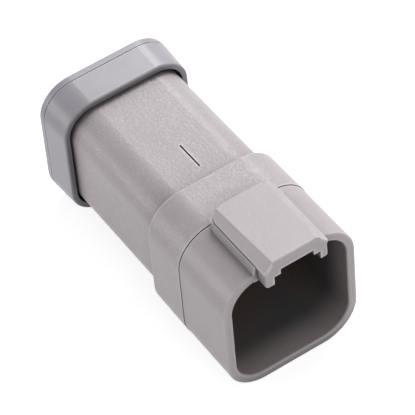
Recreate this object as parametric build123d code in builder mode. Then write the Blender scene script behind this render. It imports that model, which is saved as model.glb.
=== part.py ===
from build123d import *
import os

# Sealed six-way receptacle with its end cap, contacts, wire seal and wedge lock.
# X runs along the mating direction with the mouth at +X, Z is up, the latch hood is on top.
# The origin is under the middle of the whole part, on the surface that it lies on.

# Contact pattern: two columns of three
columns = 2
rows = 3
column_pitch = 5.9
row_pitch = 5.9

# Seal pocket round the pattern, and the body's wall round the pocket
seal_side_margin = 5.65
seal_end_margin = 2.85
seal_pocket_corner = 3.2
body_wall = 1.6
body_corner = 4.9
body_length = 28.0
body_draft = 0.3

# Shroud, which stands proud of the body on the sides and on the top and bottom
shroud_side_step = 1.4
shroud_end_step = 1.55
mouth_corner = 6.3
shroud_wall = 1.45
shroud_length = 12.0
shroud_draft = 0.4
cavity_depth = 18.0
cavity_draft = 0.3
rim_round = 0.35
rim_inner_round = 0.4

# Shoulder between the shroud and the body
shoulder_length = 8.4
shoulder_step = 0.08
shoulder_draft = 1.0
shoulder_round = 0.3
seam_width = 0.14
seam_depth = 0.1

# Flat panel and moulding mark on top of the body
panel_left_margin = 4.8
panel_right_margin = 5.9
panel_length = 25.0
panel_rise = 0.07
panel_sink = 0.02
mark_length = 5.3
mark_width = 0.28
mark_depth = 0.25
mark_offset = 0.4
mark_from_shoulder = 3.2

# Latch hood over the mouth
hood_wall = 2.05
hood_flare = 0.35
hood_step = 0.15
hood_rise = 2.8
hood_front_lift = 0.45
hood_ledge_rise = 1.5
hood_side_rise = 0.25
hood_front_corner = 0.5
hood_rear_corner = 2.2
hood_edge_round = 0.5
hood_overhang = 2.3
hood_set_in = 0.4
hood_roof = 1.35
hood_overlap = 0.1
slot_width = 8.1
slot_depth = 9.5
rail_width = 1.15
rail_height = 1.0
leg_thickness = 1.4
leg_round = 0.5

# Contacts
pin_diameter = 1.58
pin_tip_depth = 12.6
pin_tip_round = 0.5
pin_root_diameter = 1.9
collar_diameter = 2.7
collar_length = 1.1
neck_diameter = 2.0
barrel_diameter = 2.6
barrel_length = 12.5
crimp_bore = 1.7
crimp_depth = 6.5
inspection_hole = 0.7
contact_clearance = 0.1

# Wedge pocket, its locking fingers and the contact bores behind it
pocket_side_margin = 3.45
pocket_end_margin = 3.3
pocket_corner = 1.5
pocket_depth = 7.4
finger_thickness = 0.7
finger_width = 2.8
finger_length = 5.0
hook_reach = 0.45
hook_length = 1.0
hook_clearance = 0.05
catch_slot_width = 4.4
catch_slot_depth = 0.5

# Wedge lock
wedge_clearance = 0.15
wedge_plate = 1.5
wedge_blade_length = 5.4
wedge_arm_width = 3.4
wedge_arm_thickness = 0.8
wedge_arm_gap = 0.5
wedge_travel = 3.0
wedge_nub_length = 1.2
wedge_nub_reach = 0.3
wedge_pin_hole = 2.2
wedge_rib_width = 2.0
wedge_rib_height = 9.0
wedge_rib_length = 1.4

# Wire seal at the rear
seal_length = 7.0
seal_front_gap = 0.2
seal_rib_height = 0.25
seal_rib_length = 1.0
seal_ribs = 3
seal_squeeze_gap = 0.02
wire_hole = 3.4
wire_lip_hole = 2.4
wire_lip_length = 0.8
wire_lips = 2

# End cap
cap_clearance = 0.1
cap_corner = 5.4
cap_skirt = 5.5
cap_flare = 3.0
cap_rim = 1.0
cap_band = 1.3
cap_plate = 1.8
cap_groove = 0.12
cap_edge_round = 0.3
cap_front_round = 0.35
cap_inner_round = 0.15
cap_wire_hole = 4.2
cap_wire_chamfer = 0.3
snap_width = 8.0
snap_length = 1.2
snap_reach = 0.25
snap_pocket_depth = 0.4
snap_from_rear = 2.6
snap_clearance = 0.1

# How far a cutting profile reaches past the faces that it opens
cut_margin = 1.0

# Sections that follow from the contact pattern and the walls
pattern_width = (columns - 1) * column_pitch
pattern_height = (rows - 1) * row_pitch
seal_pocket_width = pattern_width + 2 * seal_side_margin
seal_pocket_height = pattern_height + 2 * seal_end_margin
seal_pocket_depth = seal_length + seal_front_gap
pocket_width = pattern_width + 2 * pocket_side_margin
pocket_height = pattern_height + 2 * pocket_end_margin
body_width = seal_pocket_width + 2 * body_wall
body_height = seal_pocket_height + 2 * body_wall
body_top = body_height / 2
mouth_width = body_width + 2 * shroud_side_step
mouth_height = body_height + 2 * shroud_end_step
cap_hole_width = body_width + 2 * cap_clearance
cap_hole_height = body_height + 2 * cap_clearance
cap_width = cap_hole_width + 2 * cap_rim
cap_height = cap_hole_height + 2 * cap_rim

# Panel on top of the body, nearer to the left corner than to the right one
panel_left = panel_left_margin - body_width / 2
panel_right = body_width / 2 - panel_right_margin

# Hood sections, from the latch slot outwards
hood_foot_width = slot_width + 2 * hood_wall
hood_ledge_width = hood_foot_width - 2 * hood_flare
hood_width = hood_ledge_width - 2 * hood_step
leg_width = slot_width + 2 * leg_thickness
hood_ledge = mouth_height / 2 + hood_ledge_rise
hood_side_top = hood_ledge + hood_side_rise
hood_top = mouth_height / 2 + hood_rise
hood_front_top = hood_top + hood_front_lift

# Stations along X and the height of the mating axis
housing_length = shroud_length + shoulder_length + body_length
overall_length = hood_overhang + housing_length + cap_plate
mouth_x = overall_length / 2 - hood_overhang
shoulder_x = mouth_x - shroud_length
body_x = shoulder_x - shoulder_length
rear_x = body_x - body_length
cavity_x = mouth_x - cavity_depth
pocket_floor_x = cavity_x - pocket_depth
seal_floor_x = rear_x + seal_pocket_depth
axis_height = mouth_height / 2


def station(x):
    """Plane across the part at x, with its own X along Y and its own Y upwards."""
    return Plane(origin=(x, 0, axis_height), x_dir=(0, 1, 0), z_dir=(1, 0, 0))


def draft_inset(angle, length):
    """How far a face drafted by this angle moves inwards over a length."""
    ray = Vector(length, 0, 0).rotate(Axis.Z, angle)
    return length * ray.Y / ray.X


def narrowed(size, angle, length):
    """Full size at the far end of a drafted length."""
    return size - 2 * draft_inset(angle, length)


# Places of the contacts across the part
contact_places = [
    (column * column_pitch - pattern_width / 2, pattern_height / 2 - row * row_pitch)
    for column in range(columns)
    for row in range(rows)
]

# Contact stations, set by the hooks that hold the collars
hook_front_x = pocket_floor_x + finger_length
collar_rear_x = hook_front_x + hook_clearance
collar_front_x = collar_rear_x + collar_length
pin_tip_x = mouth_x - pin_tip_depth
barrel_front_x = pocket_floor_x - contact_clearance
barrel_rear_x = barrel_front_x - barrel_length
contact_bore = collar_diameter + 2 * contact_clearance
finger_reach = hook_clearance + hook_reach + finger_thickness
finger_gap = column_pitch - neck_diameter - 2 * finger_reach

# Wedge lock stations: seated against the collars, with nubs that let it slide out a little
wedge_rear_x = collar_front_x + hook_clearance
wedge_front_x = wedge_rear_x + wedge_plate
wedge_tip_x = wedge_rear_x - wedge_blade_length
catch_slot_end_x = wedge_tip_x + wedge_nub_length + wedge_travel + contact_clearance

# Sections that follow from the drafts and the shroud's wall
shroud_rear_width = narrowed(mouth_width, shroud_draft, shroud_length)
shroud_rear_height = narrowed(mouth_height, shroud_draft, shroud_length)
shoulder_width = shroud_rear_width + 2 * shoulder_step
shoulder_height = shroud_rear_height + 2 * shoulder_step
shoulder_corner = mouth_corner - draft_inset(shroud_draft, shroud_length) + shoulder_step
cavity_width = mouth_width - 2 * shroud_wall
cavity_height = mouth_height - 2 * shroud_wall
cavity_corner = mouth_corner - shroud_wall

# Latch hood over the mouth: a base on the shroud that narrows up to a ledge, two legs that go
# on past the rim, and a block with sloping sides whose top rises a little towards the front
hood_front_x = mouth_x + hood_overhang
hood_rear_x = shoulder_x - hood_set_in
hood_length = hood_front_x - hood_rear_x
base_length = mouth_x - hood_rear_x
leg_rear_x = mouth_x - slot_depth
leg_length = slot_depth + hood_overhang
hood_foot = cavity_height / 2
hood_block_foot = hood_ledge - hood_overlap
hood_slope = hood_front_top - hood_side_top
hood_ceiling = axis_height + hood_front_top + cut_margin
with BuildPart() as hood_base:
    with BuildSketch(station(hood_rear_x)):
        with BuildLine():
            Polyline(
                (-hood_foot_width / 2, hood_foot),
                (-hood_foot_width / 2, mouth_height / 2),
                (-hood_ledge_width / 2, hood_ledge),
                (hood_ledge_width / 2, hood_ledge),
                (hood_foot_width / 2, mouth_height / 2),
                (hood_foot_width / 2, hood_foot),
                close=True,
            )
        make_face()
    extrude(amount=base_length)
    with BuildSketch(Plane.XY) as base_plan:
        with Locations((hood_rear_x + base_length / 2, 0)):
            Rectangle(base_length, hood_foot_width)
        fillet(base_plan.vertices().group_by(Axis.X)[0], hood_rear_corner)
    extrude(amount=hood_ceiling, mode=Mode.INTERSECT)
with BuildPart() as hood_legs:
    with BuildSketch(station(leg_rear_x)):
        with Locations((0, (hood_foot + hood_ledge) / 2)):
            Rectangle(leg_width, hood_ledge - hood_foot)
    extrude(amount=leg_length)
    with BuildSketch(Plane.XY) as leg_plan:
        with Locations((leg_rear_x + leg_length / 2, 0)):
            Rectangle(leg_length, leg_width)
        fillet(leg_plan.vertices().group_by(Axis.X)[-1], hood_front_corner)
    extrude(amount=hood_ceiling, mode=Mode.INTERSECT)
    fillet(hood_legs.edges().filter_by(Axis.X).group_by(Axis.Z)[0], leg_round)
with BuildPart() as hood:
    with BuildSketch(station(hood_rear_x)):
        with BuildLine():
            Polyline(
                (-hood_width / 2, hood_block_foot),
                (-hood_width / 2, hood_side_top),
                (-hood_width / 2 + hood_slope, hood_front_top),
                (hood_width / 2 - hood_slope, hood_front_top),
                (hood_width / 2, hood_side_top),
                (hood_width / 2, hood_block_foot),
                close=True,
            )
        make_face()
    extrude(amount=hood_length)
    with BuildSketch(Plane.XY) as block_plan:
        with Locations((hood_rear_x + hood_length / 2, 0)):
            Rectangle(hood_length, hood_width)
        fillet(block_plan.vertices().group_by(Axis.X)[-1], hood_front_corner)
        fillet(block_plan.vertices().group_by(Axis.X)[0], hood_rear_corner)
    extrude(amount=hood_ceiling, mode=Mode.INTERSECT)
    with BuildSketch(Plane.XZ):
        with BuildLine():
            Polyline(
                (hood_rear_x, 0),
                (hood_rear_x, axis_height + hood_top),
                (hood_front_x, axis_height + hood_front_top),
                (hood_front_x, 0),
                close=True,
            )
        make_face()
    extrude(amount=hood_width, both=True, mode=Mode.INTERSECT)
    fillet(hood.faces().sort_by(Axis.Z)[-1].edges(), hood_edge_round)

# Housing: one moulding with the shroud, the shoulder, the body and the latch hood
with BuildPart() as housing:
    with BuildSketch(station(mouth_x)):
        RectangleRounded(mouth_width, mouth_height, mouth_corner)
    extrude(amount=shroud_length, dir=(-1, 0, 0), taper=shroud_draft)
    fillet(housing.faces().sort_by(Axis.X)[-1].edges(), rim_round)
    with BuildSketch(station(mouth_x)):
        RectangleRounded(cavity_width, cavity_height, cavity_corner)
    extrude(amount=shroud_length, dir=(-1, 0, 0), taper=cavity_draft, mode=Mode.SUBTRACT)
    fillet(housing.faces().sort_by(Axis.X)[-1].inner_wires()[0].edges(), rim_inner_round)
    # Shoulder and body behind it, with the flat panel on top of the body
    with BuildSketch(station(shoulder_x)):
        RectangleRounded(shoulder_width, shoulder_height, shoulder_corner)
    extrude(amount=shoulder_length, dir=(-1, 0, 0), taper=shoulder_draft)
    fillet(housing.faces().sort_by(Axis.X)[0].edges(), shoulder_round)
    with BuildSketch(station(body_x)):
        RectangleRounded(body_width, body_height, body_corner)
    extrude(amount=body_length, dir=(-1, 0, 0), taper=body_draft)
    # Fine seams in front of the shoulder and behind it
    for seam_x, seam_room_width, seam_room_height, seam_corner in (
        (shoulder_x, shroud_rear_width, shroud_rear_height, shoulder_corner),
        (body_x - seam_width, body_width, body_height, body_corner),
    ):
        with BuildSketch(station(seam_x)):
            Rectangle(seam_room_width + cut_margin, seam_room_height + cut_margin)
            RectangleRounded(
                seam_room_width - 2 * seam_depth,
                seam_room_height - 2 * seam_depth,
                seam_corner - seam_depth,
                mode=Mode.SUBTRACT,
            )
        extrude(amount=seam_width, mode=Mode.SUBTRACT)
    # The panel rises out of the body's top on the left and ends in a small step on the right
    with BuildSketch(station(body_x)):
        with BuildLine():
            Polyline(
                (panel_left, 0),
                (panel_left, body_top - panel_sink),
                (panel_right, body_top + panel_rise),
                (panel_right, 0),
                close=True,
            )
        make_face()
    extrude(amount=panel_length, dir=(-1, 0, 0), taper=body_draft)
    # Hood: the base, the legs and the narrower block that stands on them
    add(hood_base.part)
    add(hood_legs.part)
    add(hood.part)
    # Cavity to its full depth and the slot under the hood
    with BuildSketch(station(mouth_x)):
        RectangleRounded(cavity_width, cavity_height, cavity_corner)
    extrude(amount=cavity_depth, dir=(-1, 0, 0), taper=cavity_draft, mode=Mode.SUBTRACT)
    slot_top = hood_top - hood_roof
    slot_foot = hood_foot - shroud_wall
    with BuildSketch(station(leg_rear_x)):
        with Locations((0, (slot_foot + slot_top) / 2)):
            Rectangle(slot_width, slot_top - slot_foot)
        with Locations(
            (-(slot_width - rail_width) / 2, slot_top - rail_height / 2),
            ((slot_width - rail_width) / 2, slot_top - rail_height / 2),
        ):
            Rectangle(rail_width, rail_height, mode=Mode.SUBTRACT)
    extrude(amount=leg_length, mode=Mode.SUBTRACT)
    # The legs' inner lower edges, rounded as the outer ones are
    leg_turn = slot_width / 2 + leg_round
    with BuildSketch(station(mouth_x)):
        with Locations((0, hood_foot)):
            Rectangle(2 * leg_turn, 2 * leg_round)
        with Locations((-leg_turn, hood_foot + leg_round), (leg_turn, hood_foot + leg_round)):
            Circle(leg_round, mode=Mode.SUBTRACT)
    extrude(amount=hood_overhang, mode=Mode.SUBTRACT)
    # Wedge pocket behind the cavity, with the slots for the wedge lock's nubs
    with BuildSketch(station(pocket_floor_x)):
        RectangleRounded(pocket_width, pocket_height, pocket_corner)
    extrude(amount=pocket_depth, mode=Mode.SUBTRACT)
    with BuildSketch(station(pocket_floor_x)):
        Rectangle(catch_slot_width, pocket_height + 2 * catch_slot_depth)
    extrude(amount=catch_slot_end_x - pocket_floor_x, mode=Mode.SUBTRACT)
    # Contact bores and the seal pocket
    with BuildSketch(station(seal_floor_x)):
        with Locations(*contact_places):
            Circle(contact_bore / 2)
    extrude(amount=pocket_floor_x - seal_floor_x, mode=Mode.SUBTRACT)
    with BuildSketch(station(rear_x)):
        RectangleRounded(seal_pocket_width, seal_pocket_height, seal_pocket_corner)
    extrude(amount=seal_pocket_depth, mode=Mode.SUBTRACT)
    # Locking fingers beside the contacts, with a hook behind each collar
    for place_y, place_z in contact_places:
        side = 1 if place_y > 0 else -1
        finger_y = side * (finger_gap + finger_thickness) / 2
        hook_y = side * (finger_gap / 2 + finger_thickness + hook_reach / 2)
        with BuildSketch(station(pocket_floor_x)):
            with Locations((finger_y, place_z)):
                Rectangle(finger_thickness, finger_width)
        extrude(amount=finger_length)
        with BuildSketch(station(hook_front_x - hook_length)):
            with Locations((hook_y, place_z)):
                Rectangle(hook_reach, finger_width)
        extrude(amount=hook_length)
    # Recesses that the end cap's snaps drop into
    snap_x = rear_x + snap_from_rear
    rear_height = narrowed(body_height, body_draft, body_length)
    with BuildSketch(station(snap_x - snap_length / 2 - snap_clearance)):
        Rectangle(snap_width + 2 * snap_clearance, body_height + cut_margin)
        Rectangle(snap_width + cut_margin, rear_height - 2 * snap_pocket_depth, mode=Mode.SUBTRACT)
    extrude(amount=snap_length + 2 * snap_clearance, mode=Mode.SUBTRACT)
    # A short engraved line on the panel on top of the body
    with BuildSketch(Plane.XY.offset(axis_height + body_top - mark_depth)):
        with Locations((body_x - mark_from_shoulder - mark_length / 2, mark_offset)):
            SlotOverall(mark_length, mark_width)
    extrude(amount=mark_depth + panel_rise, mode=Mode.SUBTRACT)
housing.part.label = "housing"

# Contacts: solid turned pins, alike in all six places
contact_names = [f"contact_{number + 1}" for number in range(len(contact_places))]
contacts = []
for contact_name, (place_y, place_z) in zip(contact_names, contact_places):
    with BuildPart() as contact:
        contact_plane = Plane(
            origin=(0, place_y, axis_height + place_z), x_dir=(1, 0, 0), z_dir=(0, -1, 0)
        )
        with BuildSketch(contact_plane):
            with BuildLine():
                Polyline(
                    (barrel_rear_x, 0),
                    (barrel_rear_x, barrel_diameter / 2),
                    (barrel_front_x, barrel_diameter / 2),
                    (barrel_front_x + (barrel_diameter - neck_diameter) / 2, neck_diameter / 2),
                    (collar_rear_x, neck_diameter / 2),
                    (collar_rear_x, collar_diameter / 2),
                    (collar_front_x, collar_diameter / 2),
                    (collar_front_x, pin_root_diameter / 2),
                    (wedge_front_x, pin_root_diameter / 2),
                    (wedge_front_x, pin_diameter / 2),
                    (pin_tip_x, pin_diameter / 2),
                    (pin_tip_x, 0),
                    close=True,
                )
            make_face()
        revolve(axis=Axis((0, place_y, axis_height + place_z), (1, 0, 0)))
        tip_edge = contact.edges().filter_by(GeomType.CIRCLE).sort_by(Axis.X)[-1]
        fillet(tip_edge, pin_tip_round)
        with BuildSketch(station(barrel_rear_x)):
            with Locations((place_y, place_z)):
                Circle(crimp_bore / 2)
        extrude(amount=crimp_depth, mode=Mode.SUBTRACT)
        with BuildSketch(Plane.XY.offset(axis_height + place_z)):
            with Locations((barrel_rear_x + crimp_depth - inspection_hole, place_y)):
                Circle(inspection_hole / 2)
        extrude(amount=barrel_diameter, mode=Mode.SUBTRACT)
    contact.part.label = contact_name
    contacts.append(contact.part)

# Wedge lock: a plate round the pins, a blade between the fingers and two latch arms
wedge_width = pocket_width - 2 * wedge_clearance
wedge_height = pocket_height - 2 * wedge_clearance
blade_thickness = finger_gap - 2 * wedge_clearance
blade_height = wedge_height - 2 * (wedge_arm_thickness + wedge_arm_gap)
arm_z = (wedge_height - wedge_arm_thickness) / 2
with BuildPart() as wedge_lock:
    with BuildSketch(station(wedge_rear_x)):
        RectangleRounded(wedge_width, wedge_height, pocket_corner - wedge_clearance)
        with Locations(*contact_places):
            Circle(wedge_pin_hole / 2, mode=Mode.SUBTRACT)
    extrude(amount=wedge_plate)
    with BuildSketch(station(wedge_tip_x)):
        Rectangle(blade_thickness, blade_height)
        with Locations((0, arm_z), (0, -arm_z)):
            Rectangle(wedge_arm_width, wedge_arm_thickness)
    extrude(amount=wedge_blade_length)
    with BuildSketch(station(wedge_tip_x)):
        Rectangle(wedge_arm_width, wedge_height + 2 * (wedge_clearance + wedge_nub_reach))
        Rectangle(catch_slot_width, wedge_height - wedge_arm_thickness, mode=Mode.SUBTRACT)
    extrude(amount=wedge_nub_length)
    with BuildSketch(station(wedge_front_x)):
        Rectangle(wedge_rib_width, wedge_rib_height)
    extrude(amount=wedge_rib_length)
wedge_lock.part.label = "wedge_lock"

# Wire seal: a soft block with ribs outside and lips in each wire hole
seal_front_x = seal_floor_x - seal_front_gap
seal_rear_x = seal_front_x - seal_length
seal_width = seal_pocket_width - 2 * seal_squeeze_gap
seal_height = seal_pocket_height - 2 * seal_squeeze_gap
seal_corner = seal_pocket_corner - seal_squeeze_gap
seal_rib_pitch = seal_length / seal_ribs
wire_lip_pitch = seal_length / (wire_lips + 1)
with BuildPart() as wire_seal:
    with BuildSketch(station(seal_rear_x)):
        RectangleRounded(
            seal_width - 2 * seal_rib_height,
            seal_height - 2 * seal_rib_height,
            seal_corner - seal_rib_height,
        )
    extrude(amount=seal_length)
    for rib in range(seal_ribs):
        rib_x = seal_rear_x + (rib + 0.5) * seal_rib_pitch - seal_rib_length / 2
        with BuildSketch(station(rib_x)):
            RectangleRounded(seal_width, seal_height, seal_corner)
        extrude(amount=seal_rib_length)
    with BuildSketch(station(seal_rear_x)):
        with Locations(*contact_places):
            Circle(wire_lip_hole / 2)
    extrude(amount=seal_length, mode=Mode.SUBTRACT)
    for gap in range(wire_lips + 1):
        gap_x = seal_rear_x + gap * wire_lip_pitch + (wire_lip_length / 2 if gap else 0)
        gap_length = wire_lip_pitch - (wire_lip_length if 0 < gap < wire_lips else wire_lip_length / 2)
        with BuildSketch(station(gap_x)):
            with Locations(*contact_places):
                Circle(wire_hole / 2)
        extrude(amount=gap_length, mode=Mode.SUBTRACT)
wire_seal.part.label = "wire_seal"

# End cap: a flared skirt, a band with a fine groove, and a plate with the wire holes
cap_rear_x = rear_x - cap_plate
band_x = cap_rear_x + cap_band
skirt_front_x = band_x + cap_skirt
cap_hole_corner = cap_corner - cap_rim
band_width = narrowed(cap_width, -cap_flare, cap_skirt)
band_height = narrowed(cap_height, -cap_flare, cap_skirt)
band_corner = cap_corner + draft_inset(cap_flare, cap_skirt)
with BuildPart() as end_cap:
    with BuildSketch(station(skirt_front_x)):
        RectangleRounded(cap_width, cap_height, cap_corner)
    extrude(amount=cap_skirt, dir=(-1, 0, 0), taper=-cap_flare)
    with BuildSketch(station(cap_rear_x)):
        RectangleRounded(band_width, band_height, band_corner)
    extrude(amount=cap_band)
    with BuildSketch(station(band_x - cap_groove / 2)):
        RectangleRounded(band_width + cut_margin, band_height + cut_margin, band_corner)
        RectangleRounded(
            band_width - 2 * cap_groove,
            band_height - 2 * cap_groove,
            band_corner - cap_groove,
            mode=Mode.SUBTRACT,
        )
    extrude(amount=cap_groove, mode=Mode.SUBTRACT)
    fillet(end_cap.faces().sort_by(Axis.X)[0].edges(), cap_edge_round)
    with BuildSketch(station(rear_x)):
        RectangleRounded(cap_hole_width, cap_hole_height, cap_hole_corner)
    extrude(amount=skirt_front_x - rear_x, mode=Mode.SUBTRACT)
    cap_front = end_cap.faces().sort_by(Axis.X)[-1]
    fillet(cap_front.outer_wire().edges(), cap_front_round)
    cap_front = end_cap.faces().sort_by(Axis.X)[-1]
    fillet(cap_front.inner_wires()[0].edges(), cap_inner_round)
    with BuildSketch(station(snap_x - snap_length / 2)):
        Rectangle(snap_width, cap_height - cap_rim)
        Rectangle(snap_width + cut_margin, rear_height - 2 * snap_reach, mode=Mode.SUBTRACT)
    extrude(amount=snap_length)
    with BuildSketch(station(cap_rear_x)):
        with Locations(*contact_places):
            Circle(cap_wire_hole / 2)
    extrude(amount=cap_plate, mode=Mode.SUBTRACT)
    hole_edges = end_cap.faces().sort_by(Axis.X)[0].edges().filter_by(GeomType.CIRCLE)
    hole_edges = hole_edges.filter_by(lambda edge: abs(edge.radius - cap_wire_hole / 2) < 0.001)
    chamfer(hole_edges, cap_wire_chamfer)
end_cap.part.label = "end_cap"

os.makedirs("parts", exist_ok=True)
export_step(housing.part, "parts/housing.step")
for contact_name, contact_part in zip(contact_names, contacts):
    export_step(contact_part, f"parts/{contact_name}.step")
export_step(wedge_lock.part, "parts/wedge_lock.step")
export_step(wire_seal.part, "parts/wire_seal.step")
export_step(end_cap.part, "parts/end_cap.step")
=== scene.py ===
import math

import bmesh
import bpy
from mathutils import Matrix, Vector


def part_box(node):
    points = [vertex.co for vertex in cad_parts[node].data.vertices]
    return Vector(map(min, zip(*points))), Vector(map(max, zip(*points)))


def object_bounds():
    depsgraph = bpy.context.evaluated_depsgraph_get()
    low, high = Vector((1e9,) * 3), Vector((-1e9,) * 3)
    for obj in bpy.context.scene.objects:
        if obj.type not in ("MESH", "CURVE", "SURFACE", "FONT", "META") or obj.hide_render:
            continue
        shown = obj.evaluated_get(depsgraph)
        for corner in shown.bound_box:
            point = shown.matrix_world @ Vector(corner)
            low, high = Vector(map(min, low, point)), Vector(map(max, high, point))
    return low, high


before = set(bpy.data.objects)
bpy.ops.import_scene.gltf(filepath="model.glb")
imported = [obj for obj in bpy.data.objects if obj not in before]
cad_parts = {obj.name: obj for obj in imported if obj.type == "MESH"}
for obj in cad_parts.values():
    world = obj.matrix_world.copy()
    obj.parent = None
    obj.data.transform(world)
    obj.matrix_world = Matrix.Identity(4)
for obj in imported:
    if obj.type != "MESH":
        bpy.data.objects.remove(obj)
cadLow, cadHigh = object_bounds()  # the CAD box, before anything is dressed
mm = 0.001
print("frame loaded:", len(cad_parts), "nodes")


# places on the housing, in mm

hoodOverhang = 2.3
shroudLength = 12.0
mouthDepth = 18.0
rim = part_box("housing")[1].x / mm - hoodOverhang  # the shroud's front face, along X
axisHeight = sum(corner.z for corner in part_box("end_cap")) / 2 / mm  # of the mating axis


# node helpers: what a socket gets is a plain value, or a pair of a node and the output that feeds it

white = (1.0, 1.0, 1.0, 1.0)
unitRange = (0.0, 1.0)

# a colour mix shares the names of its sockets with the other kinds of mix, so they go by number
mixShare, mixFirst, mixSecond, mixResult = 0, 6, 7, 2


def tone(red, green, blue):
    # a screen colour from 0 to 255, as the linear colour that a socket holds
    parts = [part / 255 for part in (red, green, blue)]
    linear = [((part + 0.055) / 1.055) ** 2.4 if part > 0.04045 else part / 12.92 for part in parts]
    return (*linear, 1.0)


def feed(tree, node, socket, value):
    if isinstance(value, tuple) and isinstance(value[0], bpy.types.Node):
        source, output = value
        tree.links.new(source.outputs[output], node.inputs[socket])
    else:
        node.inputs[socket].default_value = value


def newNode(tree, kind, place, inputs=None, **settings):
    node = tree.nodes.new(kind)
    node.location = place
    for name, value in settings.items():
        setattr(node, name, value)
    for socket, value in (inputs or {}).items():
        feed(tree, node, socket, value)
    return node


def calculate(tree, place, operation, *values, **settings):
    inputs = dict(enumerate(values))
    return newNode(tree, "ShaderNodeMath", place, inputs, operation=operation, **settings), "Value"


def calculateVector(tree, place, operation, *values, output="Vector"):
    inputs = dict(enumerate(values))
    return newNode(tree, "ShaderNodeVectorMath", place, inputs, operation=operation), output


def mapRange(tree, place, value, source, target=unitRange, **settings):
    inputs = {"Value": value}
    inputs["From Min"], inputs["From Max"] = source
    inputs["To Min"], inputs["To Max"] = target
    return newNode(tree, "ShaderNodeMapRange", place, inputs, **settings), "Result"


def mixFloats(tree, place, share, first, second):
    inputs = {"Factor": share, "A": first, "B": second}
    return newNode(tree, "ShaderNodeMix", place, inputs, data_type="FLOAT"), "Result"


def mixColours(tree, place, share, first, second):
    inputs = {mixShare: share, mixFirst: first, mixSecond: second}
    return newNode(tree, "ShaderNodeMix", place, inputs, data_type="RGBA"), mixResult


def newGroup(name, inputs, outputs):
    # each input has its first value, a tuple for a colour, and each output has its kind of socket
    tree = bpy.data.node_groups.new(name, "ShaderNodeTree")
    for label, value in inputs.items():
        kind = "NodeSocketColor" if isinstance(value, tuple) else "NodeSocketFloat"
        tree.interface.new_socket(label, in_out="INPUT", socket_type=kind).default_value = value
    for label, kind in outputs.items():
        tree.interface.new_socket(label, in_out="OUTPUT", socket_type=kind)
    return tree, newNode(tree, "NodeGroupInput", (-900, 0))


def placeGroup(tree, place, group, inputs):
    return newNode(tree, "ShaderNodeGroup", place, inputs, node_tree=group)


def newMaterial(name):
    material = bpy.data.materials.new(name)
    material.use_nodes = True
    material.node_tree.nodes.clear()
    return material, material.node_tree


def addShader(tree, inputs):
    shader = newNode(tree, "ShaderNodeBsdfPrincipled", (600, 0), inputs)
    newNode(tree, "ShaderNodeOutputMaterial", (900, 0), {"Surface": (shader, "BSDF")})


def dress(names, material):
    for name in names:
        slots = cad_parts[name].data.materials
        for index in range(len(slots)):
            slots[index] = material


# shared effects

grainShape = {
    "fineDetail": 3.0,
    "fineRoughness": 0.62,
    "wideDetail": 2.0,
    "wideRoughness": 0.5,
    "speckleRange": (0.36, 0.64),  # the heights of the fine noise between which the specks grow
    "glintRange": (0.60, 0.68),  # and those between which the painted glints do, on its highest points
}

tintShape = {
    "patchDetail": 2.0,
    "patchRoughness": 0.5,
    "patchRange": (0.35, 0.65),
    # the colour of the painted glints
    "glintColour": (1.0, 0.98, 0.98, 1.0),
}

# the open range is the share of rays that meet nothing where a mask is 0, and where it is 1
edgeShape = {"samples": 6, "inside": True, "reach": 0.5, "openRange": (0.93, 0.75)}
creviceShape = {"samples": 4, "inside": False, "reach": 1.5, "openRange": (0.99, 0.62)}


def makeMouldGrain(shape):
    # the sandy skin of a spark-eroded mould: fine bumps, with wider shallow ones under them
    inputs = {
        "Fine Scale": 3600.0,
        "Wide Scale": 700.0,
        "Wide Share": 0.35,
        "Calm From": 1.0,  # ahead of this place along X, only the calm share of the grain is left
        "Calm Share": 1.0,
    }
    middles = {"Height": 0.5, "Speckle": 0.5, "Glint": 0.0}  # each output where no grain is left
    tree, given = newGroup("mouldGrain", inputs, dict.fromkeys(middles, "NodeSocketFloat"))
    coordinates = newNode(tree, "ShaderNodeTexCoord", (-900, 260))
    fine = newNode(tree, "ShaderNodeTexNoise", (-600, 220), {
        "Vector": (coordinates, "Object"),
        "Scale": (given, "Fine Scale"),
        "Detail": shape["fineDetail"],
        "Roughness": shape["fineRoughness"],
    })
    wide = newNode(tree, "ShaderNodeTexNoise", (-600, -60), {
        "Vector": (coordinates, "Object"),
        "Scale": (given, "Wide Scale"),
        "Detail": shape["wideDetail"],
        "Roughness": shape["wideRoughness"],
    })
    whole = {
        "Height": mixFloats(tree, (-300, 120), (given, "Wide Share"), (fine, "Fac"), (wide, "Fac")),
        "Speckle": mapRange(tree, (-300, -160), (fine, "Fac"), shape["speckleRange"]),
        "Glint": mapRange(tree, (-300, -420), (fine, "Fac"), shape["glintRange"]),
    }
    parts = newNode(tree, "ShaderNodeSeparateXYZ", (-600, -420), {"Vector": (coordinates, "Object")})
    ahead = calculate(tree, (-300, -640), "GREATER_THAN", (parts, "X"), (given, "Calm From"))
    share = mapRange(tree, (-100, -640), ahead, unitRange, (1.0, (given, "Calm Share")))
    newNode(tree, "NodeGroupOutput", (700, 0), {
        label: mixFloats(tree, (300, -200 * row), share, middle, whole[label])
        for row, (label, middle) in enumerate(middles.items())
    })
    return tree


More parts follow.
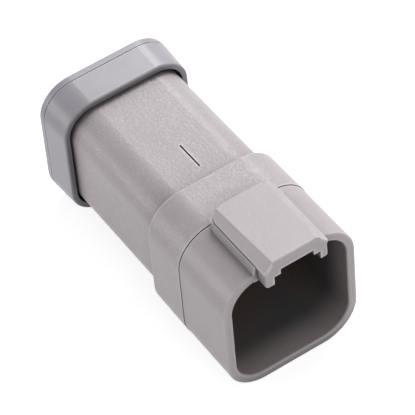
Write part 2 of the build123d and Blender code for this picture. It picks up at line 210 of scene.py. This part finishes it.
def makeSoftTint(shape):
    # cloudy patches of a second colour, specks that darken it a little and painted glints, small painted
    # highlights, that lighten it
    inputs = {
        "Base": (0.5, 0.5, 0.5, 1.0),
        "Patch": (0.5, 0.5, 0.5, 1.0),
        "Speck": (0.4, 0.4, 0.4, 1.0),
        "Patch Scale": 120.0,
        "Speckle": 0.5,
        "Speck Share": 0.2,
        "Glint": 0.0,
        "Glint Share": 0.0,
    }
    tree, given = newGroup("softTint", inputs, {"Color": "NodeSocketColor"})
    coordinates = newNode(tree, "ShaderNodeTexCoord", (-900, 260))
    cloud = newNode(tree, "ShaderNodeTexNoise", (-600, 220), {
        "Vector": (coordinates, "Object"),
        "Scale": (given, "Patch Scale"),
        "Detail": shape["patchDetail"],
        "Roughness": shape["patchRoughness"],
    })
    patchShare = mapRange(tree, (-420, 220), (cloud, "Fac"), shape["patchRange"])
    patches = mixColours(tree, (-200, 160), patchShare, (given, "Base"), (given, "Patch"))
    speckShare = calculate(tree, (-200, -160), "MULTIPLY", (given, "Speckle"), (given, "Speck Share"))
    specks = mixColours(tree, (100, 60), speckShare, patches, (given, "Speck"))
    # painted glints: small painted highlights on the grain's highest points
    glintShare = calculate(tree, (100, -160), "MULTIPLY", (given, "Glint"), (given, "Glint Share"))
    glints = mixColours(tree, (350, 60), glintShare, specks, shape["glintColour"])
    newNode(tree, "NodeGroupOutput", (700, 0), {"Color": glints})
    return tree


def makeNearMask(name, shape):
    # grows as more rays meet a face within Reach, in the open or, with inside set, in the solid
    inputs = {"Reach": shape["reach"] * mm, "Strength": 1.0}
    tree, given = newGroup(name, inputs, {"Mask": "NodeSocketFloat"})
    nearby = newNode(
        tree, "ShaderNodeAmbientOcclusion", (-500, 220), {"Distance": (given, "Reach")},
        samples=shape["samples"], inside=shape["inside"],
    )
    near = mapRange(tree, (-250, 220), (nearby, "AO"), shape["openRange"])
    mask = calculate(tree, (0, 220), "MULTIPLY", near, (given, "Strength"), use_clamp=True)
    newNode(tree, "NodeGroupOutput", (700, 0), {"Mask": mask})
    return tree


def placeTint(tree, finish, grain):
    return placeGroup(tree, (-200, 200), softTint, {
        "Base": tone(*finish["base"]),
        "Patch": tone(*finish["patch"]),
        "Speck": tone(*finish["speck"]),
        "Patch Scale": finish["patchScale"],
        "Speckle": (grain, "Speckle"),
        "Speck Share": finish["speckShare"],
        "Glint": (grain, "Glint"),
        "Glint Share": finish.get("glintShare", 0.0),
    })


def placeBump(tree, height, depth):
    inputs = {"Height": height, "Strength": 1.0, "Distance": depth * mm}
    return newNode(tree, "ShaderNodeBump", (300, -300), inputs), "Normal"


mouldGrain = makeMouldGrain(grainShape)
softTint = makeSoftTint(tintShape)
edgeRubAndHighlight = makeNearMask("edgeRubAndHighlight", edgeShape)  # 0 on a flat face and 1 along an outer edge: rub wear with a painted highlight
paintedCreviceShade = makeNearMask("paintedCreviceShade", creviceShape)  # painted shade: 0 in the open and 1 in a gap or corner
print("shared effects made")


# moulded plastics: housing, end cap and wedge lock; reaches and depths are in mm, scales per metre

housingFinish = {
    "base": (192, 183, 186),
    "patch": (186, 178, 180),
    "speck": (158, 150, 153),
    # edge: the colour of the rub wear and painted highlight along outer edges
    "edge": (232, 227, 226),
    # crevice: the colour of the painted shade in gaps and corners
    "crevice": (96, 89, 91),
    "patchScale": 150.0,
    "speckShare": 0.50,
    "glintShare": 0.30,
    "edgeReach": 0.5,
    "edgeStrength": 0.6,
    "creviceReach": 4.8,
    "creviceStrength": 0.85,
    "fineScale": 2600.0,
    "wideScale": 650.0,
    "wideShare": 0.4,
    "grainDepth": 0.065,
    "calmFrom": rim - shroudLength,  # the shroud, ahead of here along X, is smoother than the body
    "calmShare": 0.4,
    "rough": (0.34, 0.44),
    "ior": 1.5,
}

capFinish = {
    "base": (164, 161, 170),
    "patch": (157, 155, 161),
    "speck": (148, 145, 149),
    # edge: the colour of the rub wear and painted highlight along outer edges
    "edge": (196, 193, 196),
    # crevice: the colour of the painted shade in gaps and corners
    "crevice": (74, 70, 70),
    "patchScale": 110.0,
    "speckShare": 0.16,
    "glintShare": 0.06,
    "edgeReach": 0.45,
    "edgeStrength": 0.4,
    "creviceReach": 4.0,
    "creviceStrength": 0.65,
    "fineScale": 4200.0,
    "wideScale": 420.0,
    "wideShare": 0.5,
    "grainDepth": 0.015,
    "rough": (0.30, 0.38),
    "ior": 1.5,
}

wedgeFinish = {
    "base": (214, 104, 44),
    "patch": (206, 98, 42),
    "speck": (186, 84, 34),
    # edge: the colour of the rub wear and painted highlight along outer edges
    "edge": (232, 136, 78),
    # crevice: the colour of the painted shade in gaps and corners
    "crevice": (120, 52, 22),
    "patchScale": 160.0,
    "speckShare": 0.15,
    "edgeReach": 0.3,
    "edgeStrength": 0.4,
    "creviceReach": 1.0,
    "creviceStrength": 0.7,
    "fineScale": 4200.0,
    "wideScale": 600.0,
    "wideShare": 0.4,
    "grainDepth": 0.02,
    "rough": (0.42, 0.55),
    "ior": 1.5,
}

paintedMouthShade = {
    "colour": (74, 80, 81),  # the painted shade's tone deep inside the mouth
    "strength": 0.95,
    "start": 0.15,  # how far behind the rim the shade starts, and where it is full
    "full": 6.45,
    "end": mouthDepth + 0.15,  # just past the mouth's floor
    "arcAcross": 5.3,  # centres of the corner arcs from the mating axis, and a radius that lies
    "arcUpwards": 5.6,  # between the inner and the outer face of the shroud
    "radius": 5.6,
}


def paintMouthShade(tree, colour, look):
    # painted shade: the inside of the mouth gets darker with depth, as a deep hollow with no light in it
    # does
    coordinates = newNode(tree, "ShaderNodeTexCoord", (-1500, 900))
    parts = newNode(tree, "ShaderNodeSeparateXYZ", (-1300, 1150), {"Vector": (coordinates, "Object")})
    depthRange = ((rim - look["start"]) * mm, (rim - look["full"]) * mm)
    depth = mapRange(tree, (-450, 1250), (parts, "X"), depthRange, interpolation_type="SMOOTHSTEP")
    ahead = calculate(tree, (-450, 1050), "GREATER_THAN", (parts, "X"), (rim - look["end"]) * mm)
    section = newNode(tree, "ShaderNodeCombineXYZ", (-1300, 900), {"Y": (parts, "Y"), "Z": (parts, "Z")})
    axis = (0.0, 0.0, axisHeight * mm)
    arcCentre = (0.0, look["arcAcross"] * mm, look["arcUpwards"] * mm)
    offset = calculateVector(tree, (-1100, 900), "SUBTRACT", (section, "Vector"), axis)
    folded = calculateVector(tree, (-930, 900), "ABSOLUTE", offset)
    fromArc = calculateVector(tree, (-760, 900), "SUBTRACT", folded, arcCentre)
    beyond = calculateVector(tree, (-590, 900), "MAXIMUM", fromArc, (0.0, 0.0, 0.0))
    distance = calculateVector(tree, (-420, 900), "LENGTH", beyond, output="Value")
    inside = calculate(tree, (-200, 900), "LESS_THAN", distance, look["radius"] * mm)
    within = calculate(tree, (0, 900), "MULTIPLY", inside, ahead)
    mask = calculate(tree, (200, 900), "MULTIPLY", within, depth)
    share = calculate(tree, (400, 900), "MULTIPLY", mask, look["strength"])
    return mixColours(tree, (430, 260), share, colour, tone(*look["colour"]))


def makePlastic(name, finish, mouth=None):
    material, tree = newMaterial(name)
    grain = placeGroup(tree, (-500, -200), mouldGrain, {
        "Fine Scale": finish["fineScale"],
        "Wide Scale": finish["wideScale"],
        "Wide Share": finish["wideShare"],
    })
    if "calmFrom" in finish:
        feed(tree, grain, "Calm From", finish["calmFrom"] * mm)
        feed(tree, grain, "Calm Share", finish["calmShare"])
    edges = placeGroup(tree, (-200, 420), edgeRubAndHighlight, {
        "Reach": finish["edgeReach"] * mm,
        "Strength": finish["edgeStrength"],
    })
    hollows = placeGroup(tree, (-200, 620), paintedCreviceShade, {
        "Reach": finish["creviceReach"] * mm,
        "Strength": finish["creviceStrength"],
    })
    colour = placeTint(tree, finish, grain), "Color"
    # outer edges get rub wear with a painted highlight
    colour = mixColours(tree, (50, 260), (edges, "Mask"), colour, tone(*finish["edge"]))
    # gaps and corners get painted shade
    colour = mixColours(tree, (250, 260), (hollows, "Mask"), colour, tone(*finish["crevice"]))
    # painted shade deep inside the mouth, laid over the colour
    if mouth:
        colour = paintMouthShade(tree, colour, mouth)
    addShader(tree, {
        "Base Color": colour,
        "Roughness": mapRange(tree, (150, -60), (grain, "Speckle"), unitRange, finish["rough"]),
        "IOR": finish["ior"],
        "Normal": placeBump(tree, (grain, "Height"), finish["grainDepth"]),
    })
    return material


dress(["housing"], makePlastic("housingPlastic", housingFinish, paintedMouthShade))
dress(["end_cap"], makePlastic("capPlastic", capFinish))
dress(["wedge_lock"], makePlastic("wedgePlastic", wedgeFinish))
print("plastics made")


# wire seal, soft and slightly waxy

sealFinish = {
    "base": (176, 96, 62),
    "patch": (168, 90, 58),
    "speck": (140, 74, 48),
    "patchScale": 200.0,
    "speckShare": 0.2,
    "grainDepth": 0.02,
    "roughness": 0.62,
    "ior": 1.42,
    "sheen": 0.15,
}


def makeSealRubber(finish):
    material, tree = newMaterial("sealRubber")
    grain = placeGroup(tree, (-500, -200), mouldGrain, {})
    addShader(tree, {
        "Base Color": (placeTint(tree, finish, grain), "Color"),
        "Roughness": finish["roughness"],
        "IOR": finish["ior"],
        "Sheen Weight": finish["sheen"],
        "Normal": placeBump(tree, (grain, "Height"), finish["grainDepth"]),
    })
    return material


dress(["wire_seal"], makeSealRubber(sealFinish))
print("seal rubber made")


# contacts, nickel over turned brass

contactFinish = {
    "base": (206, 202, 194),
    "patch": (198, 192, 180),
    "speck": (170, 163, 150),
    "patchScale": 900.0,
    "speckShare": 0.3,
    "rough": (0.22, 0.38),
    "turningScale": 2600.0,
    "turningWander": 0.4,
    "turningDepth": 0.008,
}


def makeContactMetal(finish):
    material, tree = newMaterial("contactMetal")
    grain = placeGroup(tree, (-500, -200), mouldGrain, {})
    coordinates = newNode(tree, "ShaderNodeTexCoord", (-500, -480))
    turning = newNode(tree, "ShaderNodeTexWave", (-200, -480), {
        "Vector": (coordinates, "Object"),
        "Scale": finish["turningScale"],
        "Distortion": finish["turningWander"],
    }, bands_direction="X")
    addShader(tree, {
        "Base Color": (placeTint(tree, finish, grain), "Color"),
        "Roughness": mapRange(tree, (150, -60), (grain, "Speckle"), unitRange, finish["rough"]),
        "Metallic": 1.0,
        "Normal": placeBump(tree, (turning, "Fac"), finish["turningDepth"]),
    })
    return material


contactNames = sorted(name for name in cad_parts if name.startswith("contact_"))
dress(contactNames, makeContactMetal(contactFinish))
print("contact metal made")


# floor and world, in metres

floorLook = {
    "size": 3.0,
    "colour": (0.55, 0.55, 0.55, 1.0),
    "roughness": 0.9,
    "specular": 0.1,
    "lift": 0.82,  # added for the backdrop's rays only, so that the lit floor is white
    "liftFrom": 0.10,  # from here on, measured from the object, it rises to 1 as the lamps fall off
    "liftTo": 0.55,
}

worldLook = {
    "colour": (0.92, 0.95, 1.0, 1.0),
    "strength": 0.10,
}


def backdropRays(tree):
    # 1 for what the camera sees, also by reflection or through glass, and 0 for light on the object
    rays = newNode(tree, "ShaderNodeLightPath", (-900, 300))
    seen = calculate(tree, (-700, 300), "MAXIMUM", (rays, "Is Camera Ray"), (rays, "Is Glossy Ray"))
    return calculate(tree, (-500, 300), "MAXIMUM", seen, (rays, "Is Transmission Ray"))


def makeFloor(look):
    shape = bmesh.new()
    bmesh.ops.create_grid(shape, x_segments=1, y_segments=1, size=look["size"] / 2)
    mesh = bpy.data.meshes.new("floor")
    shape.to_mesh(mesh)
    shape.free()
    floor = bpy.data.objects.new("floor", mesh)
    bpy.context.scene.collection.objects.link(floor)
    material, tree = newMaterial("paleFloor")
    coordinates = newNode(tree, "ShaderNodeTexCoord", (-400, -200))
    away = calculateVector(tree, (-200, -200), "LENGTH", (coordinates, "Object"), output="Value")
    amount = mapRange(tree, (0, -200), away, (look["liftFrom"], look["liftTo"]), (look["lift"], 1.0))
    addShader(tree, {
        "Base Color": look["colour"],
        "Roughness": look["roughness"],
        "Specular IOR Level": look["specular"],
        "Emission Color": white,
        "Emission Strength": calculate(tree, (200, 0), "MULTIPLY", backdropRays(tree), amount),
    })
    mesh.materials.append(material)


def makeWorld(look):
    world = bpy.data.worlds.new("studio")
    bpy.context.scene.world = world
    world.use_nodes = True
    tree = world.node_tree
    tree.nodes.clear()
    inputs = {"Color": look["colour"], "Strength": look["strength"]}
    lighting = newNode(tree, "ShaderNodeBackground", (0, -120), inputs)
    backdrop = newNode(tree, "ShaderNodeBackground", (0, 120), {"Color": white, "Strength": 1.0})
    # the two shaders to choose from have sockets of one name, so they go by number too
    inputs = {0: backdropRays(tree), 1: (lighting, "Background"), 2: (backdrop, "Background")}
    choice = newNode(tree, "ShaderNodeMixShader", (300, 0), inputs)
    newNode(tree, "ShaderNodeOutputWorld", (600, 0), {"Surface": (choice, "Shader")})


makeFloor(floorLook)
makeWorld(worldLook)
print("floor and world made")


# lamps and camera, in metres, degrees and watts

rosyWhite = (1.0, 0.985, 0.99)
warmWhite = (1.0, 0.98, 0.97)
plainWhite = (1.0, 1.0, 1.0)

lampSet = {
    "keyLamp": {"place": (-0.30, 0.29, 0.44), "size": 0.26, "power": 2.00, "colour": rosyWhite},
    "leftLamp": {"place": (-0.22, -0.49, 0.11), "size": 0.40, "power": 1.46, "colour": rosyWhite},
    "rightLamp": {"place": (-0.15, 0.50, 0.24), "size": 0.40, "power": 1.33, "colour": rosyWhite},
    "frontLamp": {"place": (0.30, 0.0, 0.48), "size": 0.30, "power": 0.33, "colour": warmWhite},
    "lowLamp": {"place": (0.50, 0.02, 0.12), "size": 0.25, "power": 0.70, "colour": plainWhite},
}

cameraLook = {
    "azimuth": 60.0,
    "elevation": 48.4,
    "roll": -5.6,
    "distance": 0.4699,
    "target": (0.0081, -0.00344, 0.02257),
    "lens": 277.9,  # this and the sensor's width are in mm
    "sensorWidth": 36.0,
    "clipStart": 0.01,
    "clipEnd": 20.0,
}


def makeLamp(name, lamp, aim):
    data = bpy.data.lights.new(name, "AREA")
    data.shape = "DISK"
    data.size = lamp["size"]
    data.energy = lamp["power"]
    data.color = lamp["colour"]
    light = bpy.data.objects.new(name, data)
    light.location = lamp["place"]
    light.rotation_euler = (aim - Vector(lamp["place"])).to_track_quat("-Z", "Y").to_euler()
    bpy.context.scene.collection.objects.link(light)


def makeCamera(look):
    turn, rise = math.radians(look["azimuth"]), math.radians(look["elevation"])
    back = Vector((math.sin(turn) * math.cos(rise), -math.cos(turn) * math.cos(rise), math.sin(rise)))
    level = Vector((math.cos(turn), math.sin(turn), 0.0))
    right = Matrix.Rotation(math.radians(look["roll"]), 3, back) @ level
    up = back.cross(right)
    data = bpy.data.cameras.new("camera")
    data.sensor_width = look["sensorWidth"]
    data.lens = look["lens"]
    data.clip_start = look["clipStart"]
    data.clip_end = look["clipEnd"]
    camera = bpy.data.objects.new("camera", data)
    facing = Matrix((right, up, back)).transposed().to_4x4()
    place = Matrix.Translation(Vector(look["target"]) + back * look["distance"])
    camera.matrix_world = place @ facing
    bpy.context.scene.collection.objects.link(camera)
    bpy.context.scene.camera = camera


objectMiddle = (cadLow + cadHigh) / 2
for lampName, lamp in lampSet.items():
    makeLamp(lampName, lamp, objectMiddle)
makeCamera(cameraLook)
bpy.context.scene.view_settings.view_transform = "Standard"
print("lamps and camera made")
